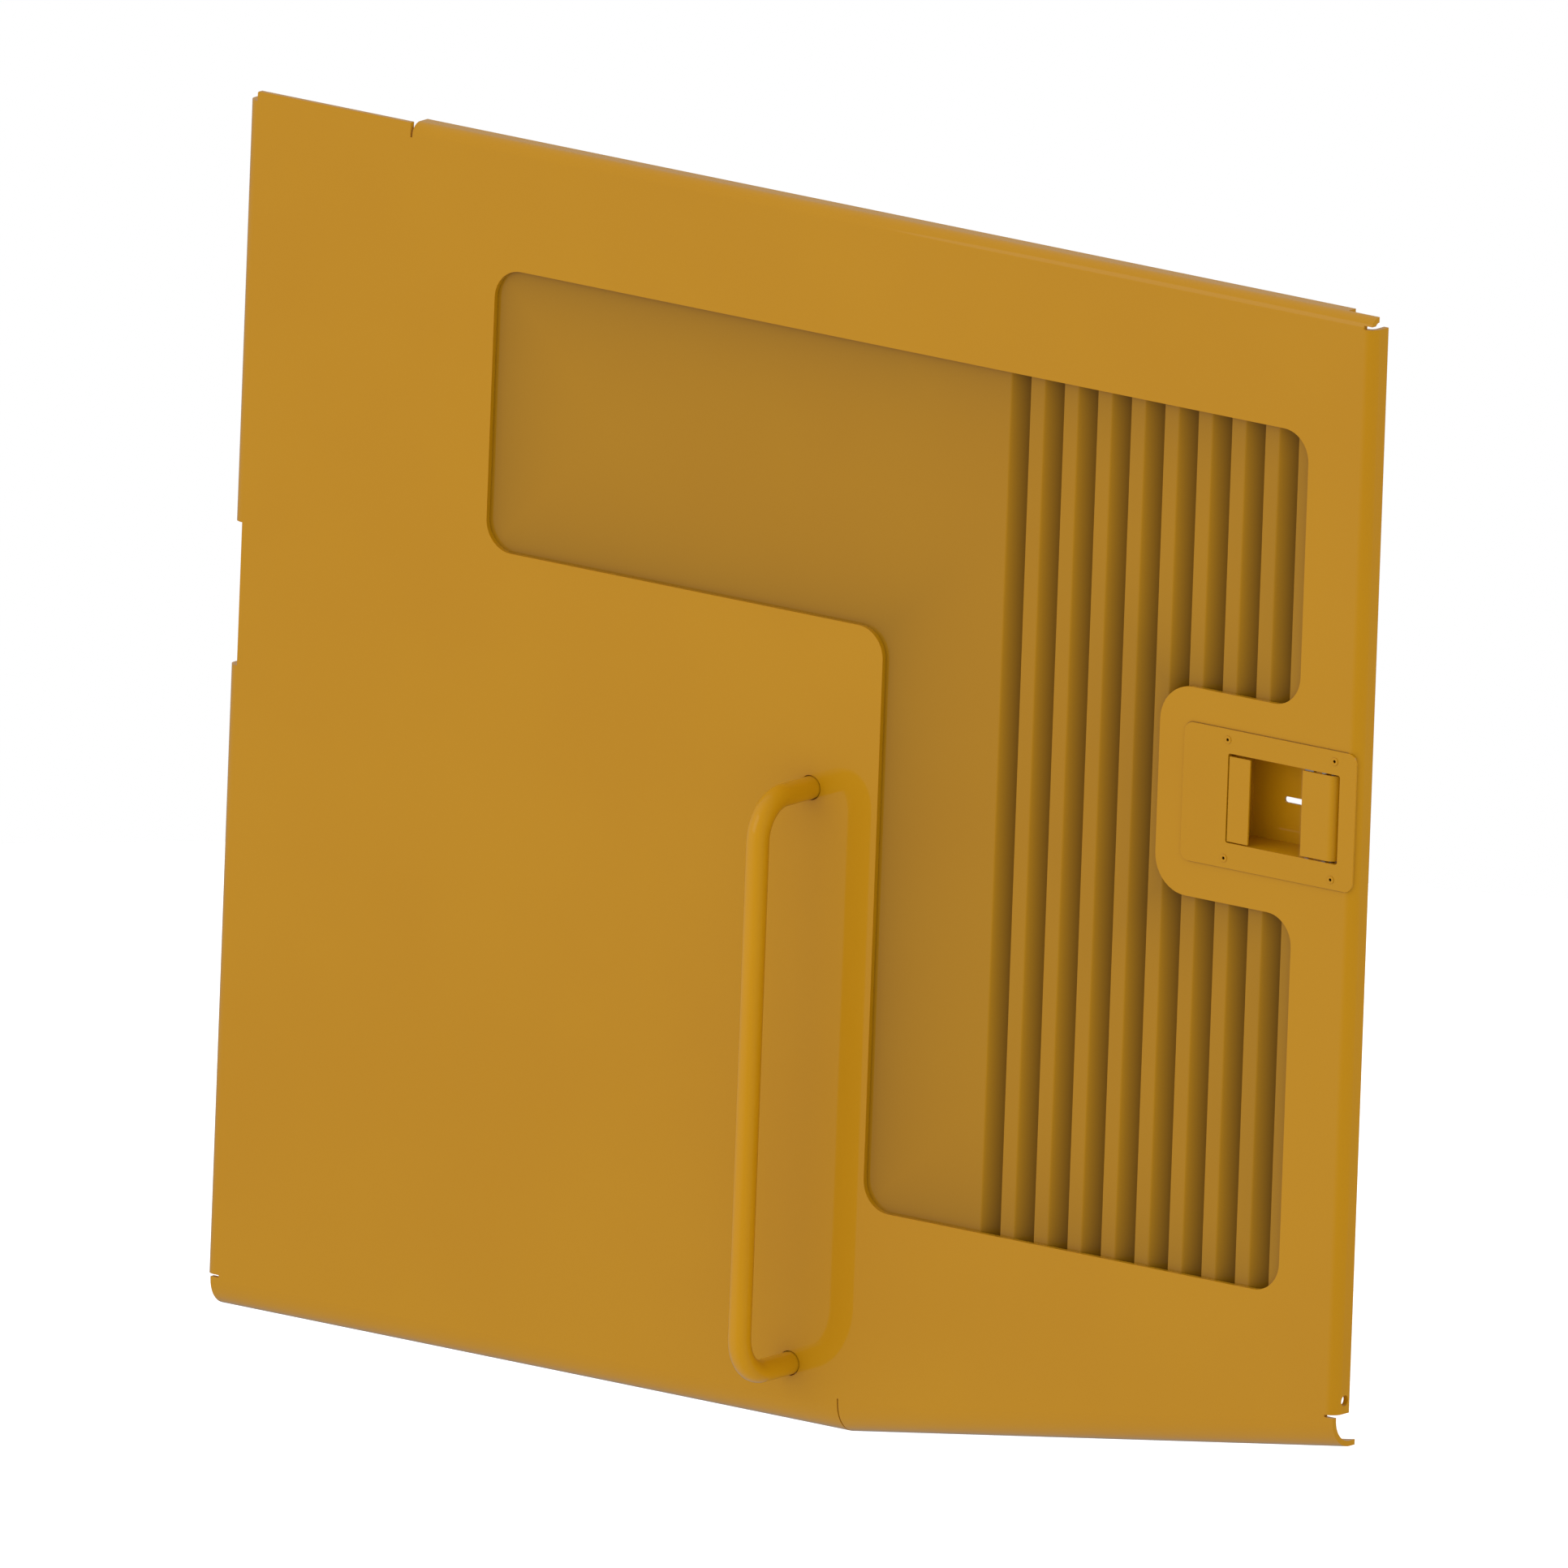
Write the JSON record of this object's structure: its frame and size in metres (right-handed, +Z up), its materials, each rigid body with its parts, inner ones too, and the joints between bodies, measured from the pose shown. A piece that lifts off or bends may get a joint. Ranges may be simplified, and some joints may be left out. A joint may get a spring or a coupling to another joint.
{
  "type": "louvred machine access door",
  "caption": "Sheet-steel access door with folded edges, an L-shaped louvred window, a round-bar grab handle, a flush paddle latch and hinges on its left side.",
  "frame": {"origin": "centre of the lower frame leaf's bolt pattern, on its bolted face", "axes": "+X from the hinge side towards the latch side, +Y into the machine, +Z up; the door faces -Y"},
  "size_m": [1.12, 0.2085, 1.002],
  "materials": {
    "yellow_paint": "gloss industrial yellow enamel",
    "inner_paint": "gloss industrial yellow enamel on a thin pressed sheet",
    "zinc_steel": "bright zinc plate",
    "spring_steel": "oiled spring wire",
    "rubber": "matt moulded rubber"
  },
  "bodies": {
    "frame": {"upper_frame_leaf": "yellow_paint", "lower_frame_leaf": "yellow_paint", "upper_hinge_pin": "zinc_steel", "lower_hinge_pin": "zinc_steel", "thrust_washers": "zinc_steel", "pin_rings": "zinc_steel"},
    "door": {"door_skin": "yellow_paint", "louver_panel": "inner_paint", "hinge_stiffener": "yellow_paint", "handle_stiffener": "yellow_paint", "door_bumpers": "rubber", "grab_handle": "yellow_paint", "handle_washers": "zinc_steel", "handle_nuts": "zinc_steel", "latch_bezel": "yellow_paint", "latch_rivets": "yellow_paint", "latch_pan": "yellow_paint", "latch_cover": "yellow_paint", "paddle_pin": "zinc_steel", "paddle_spring": "spring_steel", "latch_bracket_upper": "zinc_steel", "latch_bracket_lower": "zinc_steel", "bracket_screws": "zinc_steel", "bracket_nuts": "zinc_steel", "hook_pin": "zinc_steel", "hook_spring": "spring_steel", "upper_door_leaf": "yellow_paint", "lower_door_leaf": "yellow_paint", "leaf_bolts": "zinc_steel", "leaf_nuts": "zinc_steel"},
    "paddle": {"latch_paddle": "yellow_paint", "paddle_lever": "zinc_steel"},
    "hook": {"latch_hook": "zinc_steel"}
  },
  "joints": [
    {"name": "door_swing", "type": "hinge", "parent": "frame", "child": "door", "pos_m": [0.0025, -0.056, 0.34], "axis": [0, 0, -1], "range_deg": [0, 110]},
    {"name": "paddle_pull", "type": "hinge", "parent": "door", "child": "paddle", "pos_m": [1.081, -0.0835, 0.416], "axis": [0, 0, 1], "range_deg": [0, 25], "stiffness_Nm_per_rad": 1, "springref_deg": -11.46},
    {"name": "hook_turn", "type": "hinge", "parent": "door", "child": "hook", "pos_m": [1.0505, -0.018, 0.415], "axis": [0, 0, -1], "range_deg": [0, 32.5], "stiffness_Nm_per_rad": 0.4, "springref_deg": -11.46}
  ],
  "couplings": [
    {"joint": "hook_turn", "follows": "paddle_pull", "ratio": 1.3}
  ]
}
